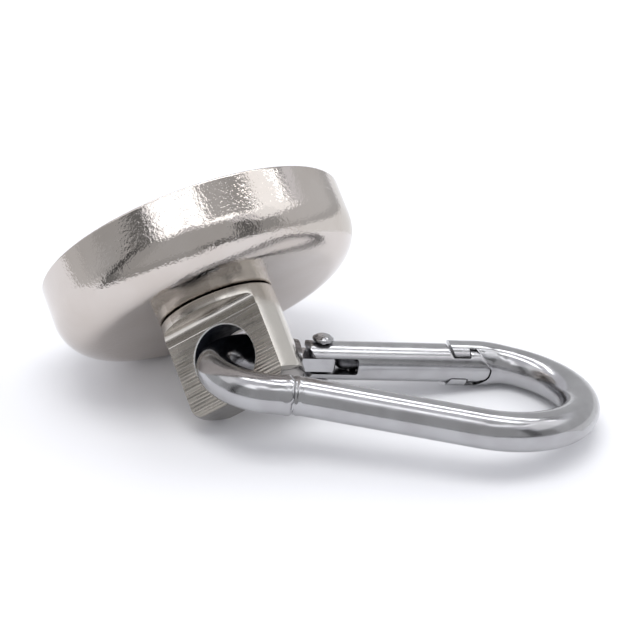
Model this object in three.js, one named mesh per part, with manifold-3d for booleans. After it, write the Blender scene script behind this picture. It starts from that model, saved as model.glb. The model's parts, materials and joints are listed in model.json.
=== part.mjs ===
// A small pot magnet with a swivelling eye block and a spring-gate snap hook, lying on a table.
// Millimetres, +Z up. The table is z = 0 and the snap hook's long axis runs along +X in plan.
// The magnet lies on the edge of its pot and the end of its block, and the hook on its wide end.
//
// Three local frames are used:
//   magnet  z along the pot's axis, 0 at the magnet's face, positive towards the block
//   block   the magnet's frame turned about its axis, z = 0 at the block's base, x along the cross hole
//   hook    x along the hook, y from the spine to the gate, z across it, in the middle of the wire

import * as THREE from 'three';
import { mergeVertices } from 'three/addons/utils/BufferGeometryUtils.js';
import Module from 'manifold-3d';

const wasm = await Module();
wasm.setup();

// ---- driving dimensions ------------------------------------------------------------------------

const GAP = 0.3; // between pieces that touch or nearly touch
const rad = THREE.MathUtils.degToRad;

const pot = {
  radius: 24,
  height: 11.65,
  backRound: 6, // radius of the rounded back edge
  cavityRadius: 21.4,
  cavityDepth: 5.7,
  clipWellRadius: 6.6, // the well behind the magnet that holds the clip and its washer
  clipWellDepth: 8.3,
  boreRadius: 3.1,
};
const magnetDisc = { radius: 19.2, chamfer: 0.4 };
const potting = { recess: 0.4 }; // how far the resin stays below the magnet's face

const block = {
  radius: 9.1,
  length: 15.1,
  endRound: 1.8,
  baseRound: 0.3,
  flange: 1.4, // height of the round collar under the milled flats
  thickness: 7.9, // between the flats
  flatFillet: 1.0,
  holeRadius: 5.12,
  holeHeight: 8.55,
  holeChamfer: 0.3,
  spigotRadius: 2.8,
  spigotLength: 6.1,
  grooveRadius: 2.25,
  grooveFrom: 4.5, // below the block's base
  grooveTo: 5.5,
};
const thrustWasher = { inner: 3.1, outer: 5.3, thickness: 0.5, recess: 0.5 };
const innerWasher = { inner: 3.1, outer: 5.6, thickness: 0.5 };
const clip = { inner: 2.45, outer: 4.6, thickness: 0.5, opening: rad(80) };

const hook = {
  wire: 3, // radius of the wire
  eyeRadius: 8.19, // centre line of the narrow end
  eyeCentre: [0.83, 0.99],
  kinkX: 2.3, // where the spine is pinched and bends away from the eye
  endRadius: 13.8, // centre line of the wide end
  noseArcRadius: 7.7,
  noseArcAngle: rad(37.2),
  noseArcX: 37.1,
  shoulderX: 6.9, // the wire ends square here and goes on as the flat tang
  shoulderY: 6.9,
};
const tang = { halfWidth: 2.3, halfThickness: 1.05, reach: 1.9, corner: 0.5, root: 6.0 };
const nose = { left: 30.3, right: 38.5, halfHeight: 3.6, taperX: 35, lugLeft: 31 };

const gate = {
  y: 6.74, // distance of the gate's axis from the hook's x axis
  radius: 3,
  pivotX: 10.1,
  endRadius: 2.85, // round end about the rivet
  slotEnd: 15.4,
  slotHalf: 1.3,
  boreRadius: 1.7,
  boreEnd: 27.4,
  neckLeft: 30.7,
  neckRight: 33.6,
  neckHalf: 1.7,
  neckSlope: 0.65,
  headHalf: 2.6,
  headArcX: 33.6,
};
const rivet = { radius: 0.9, hole: 1.15, headRadius: 1.65, headHeight: 0.95, headGap: 0.15 };
const plunger = { radius: 1.15, collarRadius: 1.45, collarLength: 1.1, collarX: 16.2, tipX: 12.3 };
const spring = { radius: 1.2, wire: 0.22, turns: 8, from: 17.6, to: 27.1 };

// How the three bodies lie.
const axisDip = rad(39.8); // the pot's axis points down by this much
const axisHeading = rad(-75.3); // and along this heading in plan
const blockTurn = rad(137.2); // the cross hole about the pot's axis, from the horizontal
const hookDip = rad(9.15);
const hookRoll = rad(-8.6);
const hookShift = [1.52, -4.34, 4.72]; // the hook's origin from the cross hole's centre, block frame

// ---- helpers ------------------------------------------------------------------------------------

// A closed geometry with shared corners, no collapsed triangles and its faces pointing out.
function welded(geometry) {
  const bare = geometry.clone();
  bare.deleteAttribute('normal');
  bare.deleteAttribute('uv');
  const merged = mergeVertices(bare, 1e-4);
  const corners = merged.index.array;
  const point = (i) => new THREE.Vector3().fromBufferAttribute(merged.attributes.position, i);
  const kept = [];
  let volume = 0;
  for (let i = 0; i < corners.length; i += 3) {
    const [a, b, c] = corners.slice(i, i + 3);
    if (a !== b && b !== c && c !== a) {
      kept.push([a, b, c]);
      volume += point(a).dot(point(b).cross(point(c)));
    }
  }
  // the faces point out: an inside-out shape has a negative volume
  merged.setIndex((volume < 0 ? kept.map(([a, b, c]) => [a, c, b]) : kept).flat());
  return merged;
}

function toSolid(geometry) {
  const closed = welded(geometry);
  return new wasm.Manifold(new wasm.Mesh({
    numProp: 3,
    vertProperties: new Float32Array(closed.attributes.position.array),
    triVerts: new Uint32Array(closed.index.array),
  }));
}

function toGeometry(solid) {
  const mesh = solid.getMesh();
  const geometry = new THREE.BufferGeometry();
  geometry.setAttribute('position', new THREE.BufferAttribute(new Float32Array(mesh.vertProperties), 3));
  geometry.setIndex([...mesh.triVerts]);
  return geometry;
}

// Turns a profile of [radius, height] points about z. The points run anticlockwise round the material.
function turned(points, segments) {
  const profile = points.map(([r, h]) => new THREE.Vector2(r, h));
  return new THREE.LatheGeometry(profile, segments).rotateX(Math.PI / 2);
}

function ring(inner, outer, low, high, segments) {
  return turned([[inner, low], [outer, low], [outer, high], [inner, high], [inner, low]], segments);
}

function disc(radius, low, high, segments) {
  return turned([[0, low], [radius, low], [radius, high], [0, high]], segments);
}

// Points on an arc, angles in radians.
function arc(cx, cy, radius, from, to, steps) {
  return Array.from({ length: steps + 1 }, (_, i) => {
    const t = from + ((to - from) * i) / steps;
    return [cx + radius * Math.cos(t), cy + radius * Math.sin(t)];
  });
}

// A prism of an outline of [x, z] points, running along y from -half to +half.
function prismAlongY(outline, half) {
  const shape = new THREE.Shape(outline.map(([x, z]) => new THREE.Vector2(x, z)));
  const geometry = new THREE.ExtrudeGeometry(shape, { depth: 2 * half, bevelEnabled: false });
  return geometry.translate(0, 0, -half).rotateX(Math.PI / 2);
}

// A prism of an outline of [x, y] points, running along z from -half to +half.
function prismAlongZ(outline, half) {
  const shape = new THREE.Shape(outline.map(([x, y]) => new THREE.Vector2(x, y)));
  const geometry = new THREE.ExtrudeGeometry(shape, { depth: 2 * half, bevelEnabled: false });
  return geometry.translate(0, 0, -half);
}

// A flat path held in the xy plane, for sweeping a section along it.
class FlatPath extends THREE.Curve {
  constructor(path) {
    super();
    this.path = path;
  }

  getPoint(t, target = new THREE.Vector3()) {
    const point = this.path.getPoint(t);
    return target.set(point.x, point.y, 0);
  }
}

class Helix extends THREE.Curve {
  constructor(radius, turns, from, to) {
    super();
    Object.assign(this, { radius, turns, from, to });
  }

  getPoint(t, target = new THREE.Vector3()) {
    const angle = 2 * Math.PI * this.turns * t;
    const x = THREE.MathUtils.lerp(this.from, this.to, t);
    return target.set(x, this.radius * Math.cos(angle), this.radius * Math.sin(angle));
  }
}

function swept(curve, radius, sides, steps) {
  const section = new THREE.Shape(arc(0, 0, radius, 0, 2 * Math.PI * (1 - 1 / sides), sides - 1)
    .map(([x, y]) => new THREE.Vector2(x, y)));
  return new THREE.ExtrudeGeometry(section, { extrudePath: curve, steps, bevelEnabled: false });
}

const materials = {
  nickel: { color: 0xb9b3ad, roughness: 0.16, metalness: 1 },
  milled: { color: 0x8f8c84, roughness: 0.4, metalness: 1 },
  stainless: { color: 0x9c9c9f, roughness: 0.28, metalness: 1 },
  magnet: { color: 0xa9a9ab, roughness: 0.3, metalness: 1 },
  resin: { color: 0x1f2124, roughness: 0.55, metalness: 0 },
  bronze: { color: 0x9a7440, roughness: 0.45, metalness: 1 },
  springSteel: { color: 0x6f7072, roughness: 0.35, metalness: 1 },
};

function piece(name, geometry, finish) {
  const closed = welded(geometry);
  closed.computeVertexNormals();
  const mesh = new THREE.Mesh(closed, new THREE.MeshStandardMaterial(materials[finish]));
  mesh.name = name;
  return mesh;
}

// ---- magnet frame: the pot and what it holds ----------------------------------------------------

function makeCup() {
  const { radius, height, backRound } = pot;
  const back = arc(radius - backRound, height - backRound, backRound, 0, Math.PI / 2, 8);
  return piece('cup', turned([
    [pot.cavityRadius, 0],
    [radius, 0],
    ...back,
    [pot.boreRadius, height],
    [pot.boreRadius, pot.clipWellDepth],
    [pot.clipWellRadius, pot.clipWellDepth],
    [pot.clipWellRadius, pot.cavityDepth],
    [pot.cavityRadius, pot.cavityDepth],
    [pot.cavityRadius, 0],
  ], 60), 'nickel');
}

function makeMagnetDisc() {
  const { radius, chamfer } = magnetDisc;
  const top = pot.cavityDepth - GAP;
  return piece('magnet_disc', turned([
    [0, 0],
    [radius - chamfer, 0],
    [radius, chamfer],
    [radius, top],
    [0, top],
  ], 60), 'magnet');
}

function makePottingRing() {
  const inner = magnetDisc.radius + GAP;
  const outer = pot.cavityRadius - GAP;
  return piece('potting_ring', ring(inner, outer, potting.recess, pot.cavityDepth - GAP, 60), 'resin');
}

const blockBase = pot.height + GAP;

function makeThrustWasher() {
  const { inner, outer, thickness, recess } = thrustWasher;
  const middle = (pot.height + blockBase + recess) / 2;
  const low = middle - thickness / 2;
  return piece('thrust_washer', ring(inner, outer, low, low + thickness, 36), 'bronze');
}

// The clip sits in the spigot's groove and bears on the inner washer, which bears on the well's floor.
const grooveMiddle = blockBase - (block.grooveFrom + block.grooveTo) / 2;

function makeInnerWasher() {
  const low = (grooveMiddle + clip.thickness / 2 + pot.clipWellDepth - innerWasher.thickness) / 2;
  const { inner, outer, thickness } = innerWasher;
  return piece('inner_washer', ring(inner, outer, low, low + thickness, 36), 'bronze');
}

function makeClip() {
  const half = clip.opening / 2;
  const outline = [
    ...arc(0, 0, clip.outer, half, 2 * Math.PI - half, 20),
    ...arc(0, 0, clip.inner, 2 * Math.PI - half, half, 20),
  ];
  const geometry = prismAlongZ(outline, clip.thickness / 2).translate(0, 0, grooveMiddle);
  return piece('retaining_clip', geometry, 'springSteel');
}

// ---- block frame: the eye block -----------------------------------------------------------------

// What is milled away on one side: down to a flat, with a fillet at the collar.
function flatCutter(turn) {
  const flat = block.thickness / 2;
  const fillet = block.flatFillet;
  const outside = block.radius + 1;
  return toSolid(prismAlongY([
    [outside, block.flange],
    [outside, block.length + 1],
    [flat, block.length + 1],
    ...arc(flat + fillet, block.flange + fillet, fillet, Math.PI, 1.5 * Math.PI, 4),
  ], outside).rotateZ(turn));
}

function makeBlock() {
  const { radius, length, endRound, baseRound, spigotRadius, spigotLength, grooveRadius } = block;
  const body = toSolid(turned([
    [0, -spigotLength],
    [spigotRadius - GAP, -spigotLength],
    [spigotRadius, GAP - spigotLength],
    [spigotRadius, -block.grooveTo],
    [grooveRadius, -block.grooveTo],
    [grooveRadius, -block.grooveFrom],
    [spigotRadius, -block.grooveFrom],
    [spigotRadius, thrustWasher.recess],
    [thrustWasher.outer + GAP, thrustWasher.recess],
    [thrustWasher.outer + GAP, 0],
    [radius - baseRound, 0],
    [radius, baseRound],
    ...arc(radius - endRound, length - endRound, endRound, 0, Math.PI / 2, 4),
    [0, length],
  ], 56));

  // The cross hole has a small chamfer at each end.
  const { holeRadius, holeChamfer } = block;
  const flat = block.thickness / 2;
  const outside = radius + 1;
  const hole = toSolid(turned([
    [0, -outside],
    [holeRadius + holeChamfer, -outside],
    [holeRadius + holeChamfer, -flat],
    [holeRadius, holeChamfer - flat],
    [holeRadius, flat - holeChamfer],
    [holeRadius + holeChamfer, flat],
    [holeRadius + holeChamfer, outside],
    [0, outside],
  ], 48).rotateY(Math.PI / 2).translate(0, 0, block.holeHeight));

  return piece('swivel_block', toGeometry(
    body.subtract(flatCutter(0)).subtract(flatCutter(Math.PI)).subtract(hole)), 'milled');
}

// ---- hook frame: the snap hook ------------------------------------------------------------------

// The wire's centre line: from the tang round the eye, through the pinch, down the spine,
// round the wide end and back to the nose.
function hookPath() {
  const [eyeX, eyeY] = hook.eyeCentre;
  const path = new THREE.Path();

  // a straight from just inside the tang, tangent to the eye
  const toShoulder = Math.atan2(hook.shoulderY - eyeY, hook.shoulderX - eyeX);
  const reach = Math.hypot(hook.shoulderY - eyeY, hook.shoulderX - eyeX);
  const eyeStart = toShoulder + Math.acos(hook.eyeRadius / reach);
  const run = rad(90) - eyeStart;
  const overrun = 2;
  path.moveTo(hook.shoulderX + overrun * Math.cos(run), hook.shoulderY - overrun * Math.sin(run));
  path.lineTo(eyeX + hook.eyeRadius * Math.cos(eyeStart), eyeY + hook.eyeRadius * Math.sin(eyeStart));

  // round the eye to the pinch
  const eyeEnd = rad(270) + Math.asin((hook.kinkX - eyeX) / hook.eyeRadius);
  path.absarc(eyeX, eyeY, hook.eyeRadius, eyeStart, eyeEnd, false);

  // the wide end, whose circle the nose arc meets smoothly
  const { endRadius, noseArcRadius, noseArcAngle, noseArcX } = hook;
  const endX = noseArcX + (noseArcRadius - endRadius) * Math.sin(noseArcAngle);
  const endY = gate.y - noseArcRadius + (noseArcRadius - endRadius) * Math.cos(noseArcAngle);
  const kinkY = eyeY + hook.eyeRadius * Math.sin(eyeEnd);
  const toEnd = Math.atan2(endY - kinkY, endX - hook.kinkX);
  const slope = toEnd - Math.asin(endRadius / Math.hypot(endX - hook.kinkX, endY - kinkY));
  path.absarc(endX, endY, endRadius, slope - rad(90), rad(90) - noseArcAngle, false);
  path.absarc(noseArcX, gate.y - noseArcRadius, noseArcRadius, rad(90) - noseArcAngle, rad(90), false);
  path.lineTo(nose.taperX, gate.y);
  return path;
}

// The pinned end: a flat tang with clipped corners, round which the gate turns.
function makeTang() {
  const right = gate.pivotX + tang.reach;
  const { halfWidth, corner } = tang;
  const plate = toSolid(prismAlongZ([
    [tang.root, gate.y - halfWidth],
    [right - corner, gate.y - halfWidth],
    [right, gate.y - halfWidth + corner],
    [right, gate.y + halfWidth - corner],
    [right - corner, gate.y + halfWidth],
    [tang.root, gate.y + halfWidth],
  ], tang.halfThickness));
  const pin = toSolid(disc(rivet.hole, -tang.halfThickness - 1, tang.halfThickness + 1, 20)
    .translate(gate.pivotX, gate.y, 0));
  return plate.subtract(pin);
}

// The room that the nose leaves round the gate's keyed end: open to the left, then two lugs that
// reach into the gate's neck, then a rounded chamber for its head.
function keyRoom() {
  const low = gate.neckHalf + GAP;
  const high = gate.headHalf + GAP;
  const tipRadius = gate.radius + GAP;
  const tipAngle = Math.asin(high / tipRadius);
  const lugRight = gate.neckRight - GAP;
  const beyond = nose.halfHeight + 1;
  const upper = [
    [lugRight, high],
    [lugRight, low],
    [nose.lugLeft, low],
    [nose.left, nose.halfHeight],
    [nose.left, beyond],
    [nose.left - 3, beyond],
  ];
  const lower = upper.map(([x, z]) => [x, -z]).reverse();
  const tip = arc(gate.headArcX, 0, tipRadius, -tipAngle, tipAngle, 10);
  return toSolid(prismAlongY([...tip, ...upper, ...lower], beyond).translate(0, gate.y, 0));
}

// The nose is the wire's free end, pressed a little taller than it is wide.
function makeNose() {
  const { left, right, taperX, halfHeight } = nose;
  return toSolid(turned([
    [0, left - 1],
    [halfHeight, left - 1],
    [halfHeight, taperX],
    [hook.wire, right],
    [0, right],
  ], 32).rotateY(Math.PI / 2).scale(1, hook.wire / halfHeight, 1).translate(0, gate.y, 0));
}

function makeHookBody() {
  const wire = toSolid(swept(new FlatPath(hookPath()), hook.wire, 16, 76));
  const pastShoulder = toSolid(prismAlongZ([
    [hook.shoulderX, 0],
    [hook.shoulderX + 8, 0],
    [hook.shoulderX + 8, 2 * gate.y],
    [hook.shoulderX, 2 * gate.y],
  ], 2 * hook.wire));
  return piece('hook_body', toGeometry(
    wire.subtract(pastShoulder).add(makeTang()).add(makeNose()).subtract(keyRoom())), 'stainless');
}

// ---- gate frame: x along the gate from the rivet's axis to the nose, with the hook's y and z ------

const fromPivot = (x) => x - gate.pivotX;

function makeGate() {
  const bar = toSolid(disc(gate.radius, fromPivot(5), fromPivot(gate.headArcX + 4), 28)
    .rotateY(Math.PI / 2));

  // the outline seen from the side: round at the rivet, keyed at the nose
  const beyond = gate.radius + 1;
  const tipAngle = Math.asin(gate.headHalf / gate.radius);
  const upper = [
    [fromPivot(gate.neckRight), gate.headHalf],
    [fromPivot(gate.neckRight), gate.neckHalf],
    [fromPivot(gate.neckLeft), gate.neckHalf],
    [fromPivot(gate.neckLeft) - gate.neckSlope, gate.radius],
    [fromPivot(gate.neckLeft) - gate.neckSlope, beyond],
    [fromPivot(0), beyond],
  ];
  const lower = upper.map(([x, z]) => [x, -z]).reverse();
  const tip = arc(fromPivot(gate.headArcX), 0, gate.radius, -tipAngle, tipAngle, 10);
  const keyed = toSolid(prismAlongY([...tip, ...upper, ...lower], beyond));

  // the outline seen from above: a round end about the rivet
  const roundEnd = toSolid(prismAlongZ([
    ...arc(0, 0, gate.endRadius, rad(90), rad(270), 14),
    [0, -beyond],
    [fromPivot(40), -beyond],
    [fromPivot(40), beyond],
    [0, beyond],
  ], beyond));

  const slot = toSolid(prismAlongY([
    [fromPivot(0), -gate.slotHalf],
    [fromPivot(gate.slotEnd), -gate.slotHalf],
    [fromPivot(gate.slotEnd), gate.slotHalf],
    [fromPivot(0), gate.slotHalf],
  ], beyond));
  const bore = toSolid(disc(gate.boreRadius, fromPivot(gate.slotEnd - 1), fromPivot(gate.boreEnd), 20)
    .rotateY(Math.PI / 2));
  const pinHole = toSolid(disc(rivet.hole, -beyond, beyond, 20));
  return piece('gate', toGeometry(
    bar.intersect(keyed).intersect(roundEnd).subtract(slot).subtract(bore).subtract(pinHole)), 'stainless');
}

// One rivet with a domed head at each end.
function makeRivet() {
  const { radius, headRadius, headHeight, headGap } = rivet;
  const under = gate.radius + headGap;
  const sphere = (headRadius ** 2 + headHeight ** 2) / (2 * headHeight);
  const spread = Math.asin(headRadius / sphere);
  const dome = arc(0, under + headHeight - sphere, sphere, rad(90) - spread, rad(90), 5);
  dome[dome.length - 1][0] = 0;
  const upper = [[radius, under], ...dome];
  const lower = upper.map(([r, z]) => [r, -z]).reverse();
  return piece('gate_rivet', turned([...lower, ...upper], 24), 'stainless');
}

// The plunger runs in the gate's bore and presses on the end of the tang.
function makePlunger() {
  const { radius, collarRadius, collarLength, collarX, tipX } = plunger;
  const tip = arc(fromPivot(tipX) + radius, 0, radius, rad(180), rad(90), 5).map(([x, r]) => [r, x]);
  tip[0][0] = 0;
  return piece('gate_plunger', turned([
    ...tip,
    [radius, fromPivot(collarX)],
    [collarRadius, fromPivot(collarX)],
    [collarRadius, fromPivot(collarX) + collarLength],
    [0, fromPivot(collarX) + collarLength],
  ], 20).rotateY(Math.PI / 2), 'stainless');
}

function makeSpring() {
  const { radius, wire, turns, from, to } = spring;
  const helix = new Helix(radius, turns, fromPivot(from), fromPivot(to));
  return piece('gate_spring', swept(helix, wire, 5, 12 * turns), 'springSteel');
}

// ---- assembly -----------------------------------------------------------------------------------

const blockGroup = new THREE.Group();
blockGroup.add(makeBlock());
blockGroup.position.z = blockBase;
blockGroup.rotation.z = blockTurn;

const magnetGroup = new THREE.Group();
magnetGroup.add(makeCup(), makeMagnetDisc(), makePottingRing(), makeThrustWasher(), makeInnerWasher());
magnetGroup.add(makeClip(), blockGroup);
magnetGroup.rotation.set(rad(90) + axisDip, 0, rad(90) + axisHeading, 'ZXY');
magnetGroup.updateMatrixWorld(true);

const gateGroup = new THREE.Group();
gateGroup.add(makeGate(), makeRivet(), makePlunger(), makeSpring());
gateGroup.position.set(gate.pivotX, gate.y, 0);

const hookGroup = new THREE.Group();
hookGroup.add(makeHookBody(), gateGroup);
hookGroup.rotation.set(hookRoll, hookDip, 0, 'YXZ');
const holeCentre = new THREE.Vector3(0, 0, block.holeHeight);
hookGroup.position.copy(blockGroup.localToWorld(holeCentre.add(new THREE.Vector3(...hookShift))));

// The origin is on the table, under the middle of the object's box.
const assembly = new THREE.Group();
assembly.add(magnetGroup, hookGroup);
const box = new THREE.Box3().setFromObject(assembly, true);
const middle = box.getCenter(new THREE.Vector3());
assembly.position.set(-middle.x, -middle.y, -box.min.z);

const part = new THREE.Group();
part.add(assembly);
export default part;
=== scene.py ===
"""The looks of a pot magnet with a swivelling eye block and a spring-gate snap hook.

Every piece is built in millimetres in one of four local frames, which come from the CAD joints:
  pot    z along the swivel's axis and away from the magnet, z = 0 on the magnet's face
  block  the same axes, z = 0 on the block's base, x along the cross hole
  hook   x along the hook, y from the spine to the gate, z across it, in the middle of the wire
  gate   the hook's axes, with the origin on the gate's rivet
"""

import json
import math
from types import SimpleNamespace

import bmesh
import bpy
from mathutils import Matrix, Vector


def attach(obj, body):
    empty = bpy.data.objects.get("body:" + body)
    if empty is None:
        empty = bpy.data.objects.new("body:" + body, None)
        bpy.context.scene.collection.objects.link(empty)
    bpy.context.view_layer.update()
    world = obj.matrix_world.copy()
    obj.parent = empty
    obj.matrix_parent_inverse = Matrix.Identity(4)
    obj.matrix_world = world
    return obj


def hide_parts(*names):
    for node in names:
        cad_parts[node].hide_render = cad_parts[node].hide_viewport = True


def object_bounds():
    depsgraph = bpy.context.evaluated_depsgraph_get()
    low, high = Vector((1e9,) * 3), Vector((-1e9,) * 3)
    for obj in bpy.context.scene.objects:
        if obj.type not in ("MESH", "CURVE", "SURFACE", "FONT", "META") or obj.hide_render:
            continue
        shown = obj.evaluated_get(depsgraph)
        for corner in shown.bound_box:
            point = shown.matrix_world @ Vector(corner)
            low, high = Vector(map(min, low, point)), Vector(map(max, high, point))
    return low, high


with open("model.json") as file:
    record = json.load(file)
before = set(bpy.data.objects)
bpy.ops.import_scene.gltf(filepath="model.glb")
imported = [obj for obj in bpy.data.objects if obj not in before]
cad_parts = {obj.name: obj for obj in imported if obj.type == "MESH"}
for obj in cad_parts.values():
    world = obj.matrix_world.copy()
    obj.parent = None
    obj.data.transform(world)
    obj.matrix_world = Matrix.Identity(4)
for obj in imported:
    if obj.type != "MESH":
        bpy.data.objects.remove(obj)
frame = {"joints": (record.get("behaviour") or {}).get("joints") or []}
cad_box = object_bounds()

MM = 0.001
GAP = 0.3
SHARP_EDGE = math.radians(32)
SMOOTH_UP_TO = math.radians(38)
SPARED_WEIGHT = 0.15
LUG_GAP = 0.03
CAMERA = SimpleNamespace(
    azimuth=-13.33, elevation=30.9, roll=0.37, distance=0.3636, sensor=36, lens=134.2, clip_start=0.01,
    aim=(0.77, 1.31, -7.1))
STUDIO_WHITE = (0.97, 0.98, 1.0, 1)
SKY_COLOUR = (0.945, 0.95, 1.0, 1)

# ---- sizes in millimetres -------------------------------------------------------------------------

POT = SimpleNamespace(
    radius=23.97, height=11.65, back_round=6.0, rim_round=0.35, cavity_radius=21.4, cavity_depth=5.7,
    well_radius=6.6, well_depth=8.3, bore_radius=3.1, bore_round=0.25)
DISC = SimpleNamespace(radius=19.2, chamfer=0.5)
RESIN = SimpleNamespace(inner=19.5, outer=21.1, recess=0.4, sag=0.25)
BLOCK = SimpleNamespace(
    radius=9.1, length=15.1, end_round=1.8, base_round=0.35, flange=1.4, thickness=7.9, fillet=1.0,
    hole_radius=5.12, hole_height=8.55, hole_chamfer=0.18, spigot_radius=2.8, spigot_length=6.1,
    groove_radius=2.25, groove_from=4.5, groove_to=5.5, edge=0.22, base_drop=0.17)
WASHER = SimpleNamespace(inner=3.1, outer=5.3, thickness=0.5, recess=0.5)
INNER_WASHER = SimpleNamespace(inner=3.1, outer=5.6, thickness=0.5)
CLIP = SimpleNamespace(inner=2.45, outer=4.6, thickness=0.5, opening=math.radians(80))
HOOK = SimpleNamespace(
    wire=2.95, eye_radius=8.19, eye_x=0.83, eye_y=0.99, kink_x=2.3, end_radius=13.8,
    nose_arc_radius=7.7, nose_arc_angle=math.radians(37.2), nose_arc_x=37.1,
    shoulder_x=6.9, shoulder_y=6.9, end_x=6.45)
TANG = SimpleNamespace(half_width=2.3, half_thickness=1.05, reach=1.9, corner=0.5, root=5.2)
NOSE = SimpleNamespace(left=30.3, right=41.5, half_height=3.6, taper_x=35.0, lug_left=31.0, lug_below=1.3)
PINCH = SimpleNamespace(
    bend=2.2, until_x=12, reach=6, lip=0.17, lip_before=0.75, lip_width=0.7, ring=0.1, ring_after=0.75,
    ring_width=0.4, crease=0.1, crease_outside=0.2, crease_width=0.3, thinning=0.14, thin_length=2.6)
GATE = SimpleNamespace(
    y=6.74, radius=3.0, pivot_x=10.1, slot_end=15.4, slot_half=1.3, bore_radius=1.7,
    bore_end=27.4, neck_left=30.7, neck_right=33.6, neck_half=1.7, neck_slope=0.65, edge=0.14)
RIVET = SimpleNamespace(radius=0.9, hole=1.15, head_radius=1.65, head_height=0.95, head_gap=0.15)
PLUNGER = SimpleNamespace(
    radius=1.22, depth_scale=1.3, collar_radius=1.28, collar_length=1.1, collar_x=16.2, tip_x=12.3)
SPRING = SimpleNamespace(radius=1.2, wire=0.22, turns=8, start=18.05, end=27.1)

# ---- local frames ---------------------------------------------------------------------------------

JOINTS = {joint["name"]: joint for joint in frame["joints"]}


def local_frame(origin, x_axis, z_axis):
    x, z = Vector(x_axis).normalized(), Vector(z_axis).normalized()
    axes = Matrix((x, z.cross(x), z)).transposed()
    return Matrix.Translation(origin) @ axes.to_4x4()


def shifted(place, x=0.0, y=0.0, z=0.0):
    return place @ Matrix.Translation(Vector((x, y, z)) * MM)


swivel, swing = JOINTS["block_swivel"], JOINTS["hook_swing"]
hinge, slide = JOINTS["gate_hinge"], JOINTS["plunger_slide"]
BACK_FACE = local_frame(swivel["pos_m"], swing["axis"], swivel["axis"])
POT_FRAME = shifted(BACK_FACE, z=-POT.height)
BLOCK_FRAME = shifted(BACK_FACE, z=GAP)
GATE_FRAME = local_frame(hinge["pos_m"], slide["axis"], -Vector(hinge["axis"]))
HOOK_FRAME = shifted(GATE_FRAME, x=-GATE.pivot_x, y=-GATE.y)

# ---- outlines -------------------------------------------------------------------------------------


def arc(cx, cy, radius, start, end, steps):
    angles = [start + (end - start) * i / steps for i in range(steps + 1)]
    return [(cx + radius * math.cos(t), cy + radius * math.sin(t)) for t in angles]


def rounded(corners, closed=True, steps=6):
    """An outline of (x, y, radius) corners with each corner rounded to its radius."""
    points = []
    last = len(corners) - 1
    for i, (x, y, radius) in enumerate(corners):
        here = Vector((x, y))
        if radius == 0 or (not closed and i in (0, last)):
            points.append((x, y))
            continue
        before = (Vector(corners[i - 1][:2]) - here).normalized()
        after = (Vector(corners[0 if i == last else i + 1][:2]) - here).normalized()
        half = before.angle(after) / 2
        centre = here + (before + after).normalized() * radius / math.sin(half)
        start = here + before * radius / math.tan(half) - centre
        end = here + after * radius / math.tan(half) - centre
        first = math.atan2(start.y, start.x)
        turn = (math.atan2(end.y, end.x) - first + math.pi) % (2 * math.pi) - math.pi
        points += arc(centre.x, centre.y, radius, first, first + turn, steps)
    return points


# ---- meshes ---------------------------------------------------------------------------------------


def from_rings(rings, closed):
    """Joins rings of vertices, in which a ring of one point closes the end."""
    bm = bmesh.new()
    made = [[bm.verts.new(Vector(point) * MM) for point in ring] for ring in rings]
    sides = max(len(ring) for ring in made)
    pairs = list(zip(made, made[1:])) + ([(made[-1], made[0])] if closed else [])
    for a, b in pairs:
        for k in range(sides):
            quad = [a[k % len(a)], a[(k + 1) % len(a)], b[(k + 1) % len(b)], b[k % len(b)]]
            corners = list(dict.fromkeys(quad))
            if len(corners) > 2:
                bm.faces.new(corners)
    bmesh.ops.recalc_face_normals(bm, faces=bm.faces)
    return bm


def turned(profile, sides=160, axis="z"):
    """Turns (radius, height) points about an axis. A profile that leaves the axis closes on itself."""
    def ring(radius, height):
        if radius < 1e-6:
            points = [(0, 0, height)]
        else:
            angles = [2 * math.pi * k / sides for k in range(sides)]
            points = [(radius * math.cos(t), radius * math.sin(t), height) for t in angles]
        return points if axis == "z" else [(h, x, y) for x, y, h in points]

    return from_rings([ring(r, h) for r, h in profile], closed=profile[0][0] > 1e-6)


def prism(outline, half, axis="z"):
    """A solid of an outline in the xy plane, or in the xz plane if the axis is y."""
    def place(x, y, depth):
        return (x, y, depth) if axis == "z" else (x, depth, y)

    bm = bmesh.new()
    low, high = ([bm.verts.new(Vector(place(x, y, d)) * MM) for x, y in outline] for d in (-half, half))
    bm.faces.new(low)
    bm.faces.new(high)
    for k in range(len(low)):
        nxt = (k + 1) % len(low)
        bm.faces.new((low[k], low[nxt], high[nxt], high[k]))
    bmesh.ops.recalc_face_normals(bm, faces=bm.faces)
    return bm


def moved(bm, matrix):
    bmesh.ops.transform(bm, matrix=matrix, verts=bm.verts)
    return bm


def as_object(name, bm):
    mesh = bpy.data.meshes.new(name)
    bm.to_mesh(mesh)
    bm.free()
    thing = bpy.data.objects.new(name, mesh)
    bpy.context.scene.collection.objects.link(thing)
    return thing


def apply_modifiers(thing):
    bpy.context.view_layer.update()
    shape = thing.evaluated_get(bpy.context.evaluated_depsgraph_get())
    mesh = bpy.data.meshes.new_from_object(shape)
    thing.modifiers.clear()
    thing.data = mesh


def combined(thing, operation, *tools):
    """Joins tools to thing, or cuts it with them, and removes the tools."""
    for tool_mesh in tools:
        tool = as_object("tool", tool_mesh)
        modifier = thing.modifiers.new("combine", "BOOLEAN")
        modifier.operation = operation
        modifier.solver = "EXACT"
        modifier.object = tool
        apply_modifiers(thing)
        bpy.data.objects.remove(tool)


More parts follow.
